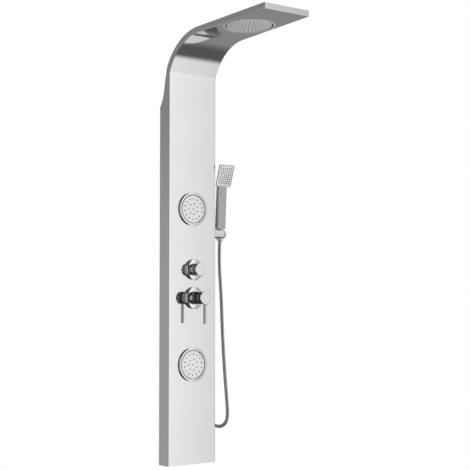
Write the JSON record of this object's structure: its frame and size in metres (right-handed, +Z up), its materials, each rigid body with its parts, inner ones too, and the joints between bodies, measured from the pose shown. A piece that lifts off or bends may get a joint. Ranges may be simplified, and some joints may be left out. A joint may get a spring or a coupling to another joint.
{
  "type": "rainfall shower column",
  "caption": "Wall-mounted steel shower column with an overhead rain head, body jets, diverter, lever mixer and a hand shower on a hose.",
  "frame": {"origin": "middle of the upper wall bracket's two screw holes, on the wall's surface", "axes": "+Z up along the column, +Y into the wall, +X to the right for someone facing the column"},
  "size_m": [0.2715, 0.5735, 1.5018],
  "materials": {
    "mirror_steel": "stainless sheet polished almost to a mirror, with a very fine long grain",
    "bracket_steel": "plain folded stainless sheet, satin",
    "brass": "cast and turned brass, dull",
    "pipe_steel": "drawn stainless tube",
    "chamber_plastic": "moulded dark grey plastic",
    "chrome": "bright chrome plate on turned and cast brass",
    "spray_face": "satin silver plated plastic",
    "nozzle_rubber": "soft grey silicone",
    "hose_metal": "double-lock chromed steel strip wound round a soft inner tube"
  },
  "bodies": {
    "column": {"front_panel": "mirror_steel", "arm_cover": "mirror_steel", "bottom_cap": "mirror_steel", "upper_wall_bracket": "bracket_steel", "lower_wall_bracket": "bracket_steel", "upper_crossbar": "bracket_steel", "lower_crossbar": "bracket_steel", "diverter_valve": "brass", "diverter_nut": "brass", "diverter_escutcheon": "chrome", "mixer_valve": "brass", "mixer_nut": "brass", "mixer_escutcheon": "chrome", "mixer_cartridge": "brass", "hot_inlet": "brass", "cold_inlet": "brass", "riser_pipe": "pipe_steel", "upper_jet_pipe": "pipe_steel", "lower_jet_pipe": "pipe_steel", "rain_pipe": "pipe_steel", "rain_union": "brass", "rain_bezel": "chrome", "upper_jet_flange": "chrome", "upper_jet_nut": "brass", "upper_jet_chamber": "chamber_plastic", "lower_jet_flange": "chrome", "lower_jet_nut": "brass", "lower_jet_chamber": "chamber_plastic", "outlet_elbow": "chrome", "outlet_nut": "brass", "hose_nut": "chrome", "handset_hose": "hose_metal", "holder": "chrome", "holder_screws": "chrome"},
    "rain_head": {"rain_shell": "chrome", "rain_pins": "chrome", "rain_face": "spray_face", "rain_nozzles": "nozzle_rubber"},
    "upper_jet": {"upper_jet_face": "spray_face", "upper_jet_nozzles": "nozzle_rubber"},
    "lower_jet": {"lower_jet_face": "spray_face", "lower_jet_nozzles": "nozzle_rubber"},
    "diverter": {"diverter_spindle": "brass", "diverter_knob": "chrome"},
    "temperature": {"mixer_collar": "chrome"},
    "lever": {"mixer_handle": "chrome", "mixer_ears": "chrome", "mixer_lever": "chrome"},
    "handset": {"handset_cone": "chrome", "handset_handle": "chrome", "handset_head": "chrome", "handset_face": "spray_face", "handset_nozzles": "nozzle_rubber"}
  },
  "joints": [
    {"name": "rain_head_tilt", "type": "hinge", "parent": "column", "child": "rain_head", "pos_m": [0, -0.37739, 0.29741], "axis": [0.5733, 0.8188, -0.0286], "range_deg": [-6, 6]},
    {"name": "upper_jet_tilt", "type": "hinge", "parent": "column", "child": "upper_jet", "pos_m": [0, -0.0585, -0.294], "axis": [1, 0, 0], "range_deg": [-10, 10]},
    {"name": "lower_jet_tilt", "type": "hinge", "parent": "column", "child": "lower_jet", "pos_m": [0, -0.0585, -0.8365], "axis": [1, 0, 0], "range_deg": [-10, 10]},
    {"name": "diverter_turn", "type": "hinge", "parent": "column", "child": "diverter", "pos_m": [0.005, -0.0765, -0.506], "axis": [0, -1, 0], "range_deg": [-90, 90]},
    {"name": "temperature_turn", "type": "hinge", "parent": "column", "child": "temperature", "pos_m": [0.005, -0.0765, -0.6044], "axis": [0, -1, 0], "range_deg": [-45, 45]},
    {"name": "lever_lift", "type": "hinge", "parent": "temperature", "child": "lever", "pos_m": [0.005, -0.0865, -0.6044], "axis": [-1, 0, 0], "range_deg": [0, 22]},
    {"name": "handset_lift", "type": "slide", "parent": "column", "child": "handset", "axis": [0, -0.075, 0.9972], "range_m": [0, 0.06]}
  ]
}
